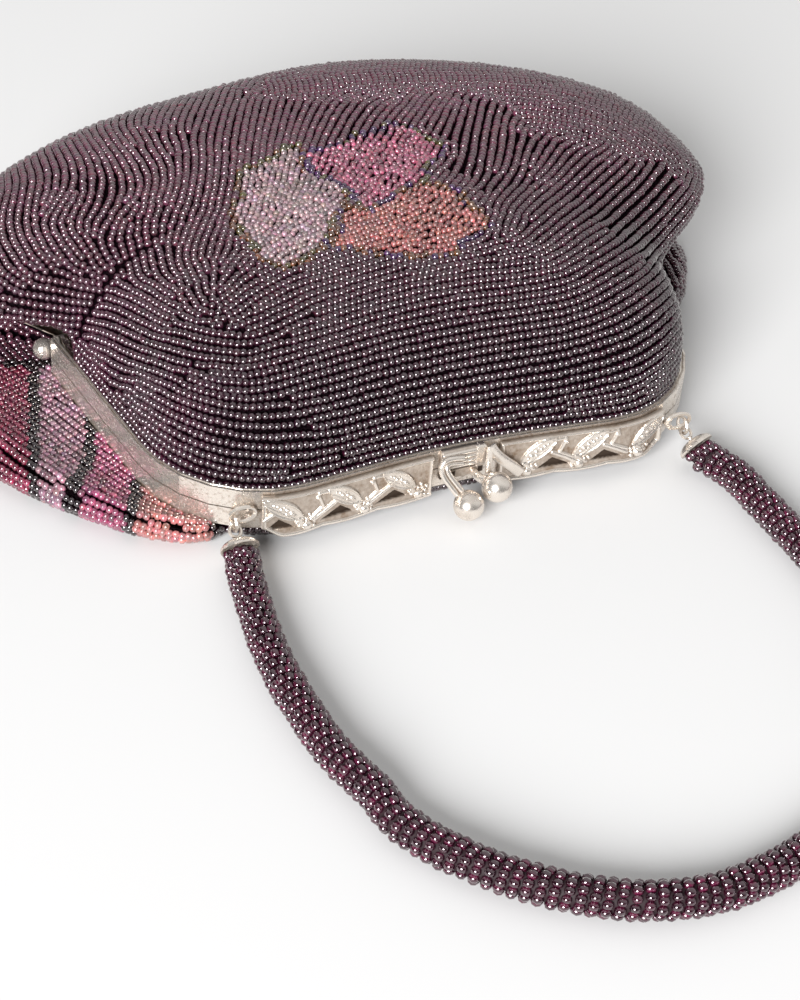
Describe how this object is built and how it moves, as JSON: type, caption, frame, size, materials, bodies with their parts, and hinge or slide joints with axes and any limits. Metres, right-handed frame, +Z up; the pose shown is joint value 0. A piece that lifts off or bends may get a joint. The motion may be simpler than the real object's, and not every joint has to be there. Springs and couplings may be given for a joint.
{
  "type": "beaded evening purse",
  "caption": "Soft beaded clutch on a folded metal kiss-lock frame with openwork bands, ball clasp, satin lining and a beaded rope handle.",
  "frame": {"origin": "centre of the flat patch of the back panel that the purse lies on", "axes": "+Z up off the table, X along the hinge axis with +X to the purse's right as seen from the clasp, -Y towards the frame's bar and the handle, +Y towards the pouch's bottom seam"},
  "size_m": [0.207, 0.2749, 0.05],
  "materials": {
    "silvered_metal": "warm silver-toned plated sheet, polished on its high spots and brownish in its recesses",
    "plum_beads": "cloth closely sewn with glossy glass seed beads, dark plum to mauve with a pale motif",
    "garnet_beads": "translucent garnet glass seed beads in rings round a soft core",
    "satin_lining": "smooth satin",
    "binding_cord": "matt paper cord"
  },
  "bodies": {
    "back_half": {"back_frame": "silvered_metal", "back_binding": "binding_cord", "hinge_rivet_left": "silvered_metal", "hinge_rivet_right": "silvered_metal", "back_clasp_arm": "silvered_metal", "back_clasp_ball": "silvered_metal", "eyelet_left": "silvered_metal", "eyelet_right": "silvered_metal", "pouch_back_panel": "plum_beads", "pouch_front_lower": "plum_beads", "pouch_front_fold": "plum_beads", "lining_back_panel": "satin_lining", "lining_front_lower": "satin_lining", "lining_front_fold": "satin_lining"},
    "front_half": {"front_frame": "silvered_metal", "front_binding": "binding_cord", "filigree_left": "silvered_metal", "filigree_right": "silvered_metal", "clasp_plate": "silvered_metal", "front_clasp_arm": "silvered_metal", "front_clasp_ball": "silvered_metal", "pouch_front_upper": "plum_beads", "lining_front_upper": "satin_lining"},
    "handle_rings": {"jump_ring_left": "silvered_metal", "jump_ring_right": "silvered_metal"},
    "handle": {"bell_cap_left": "silvered_metal", "bell_cap_right": "silvered_metal", "cap_eye_left": "silvered_metal", "cap_eye_right": "silvered_metal", "handle_rope": "garnet_beads"}
  },
  "joints": [
    {"name": "frame_open", "type": "hinge", "parent": "back_half", "child": "front_half", "pos_m": [0, -0.004, 0.0109], "axis": [-1, 0, 0], "range_deg": [0, 60], "deforming": ["pouch_front_fold", "lining_front_fold"]},
    {"name": "ring_swing", "type": "hinge", "parent": "back_half", "child": "handle_rings", "pos_m": [0, -0.0778, 0.00957], "axis": [-1, 0, 0], "range_deg": [0, 80]},
    {"name": "handle_swing", "type": "hinge", "parent": "handle_rings", "child": "handle", "pos_m": [0, -0.07755, 0.00824], "axis": [-1, 0, 0], "range_deg": [0, 15]}
  ]
}
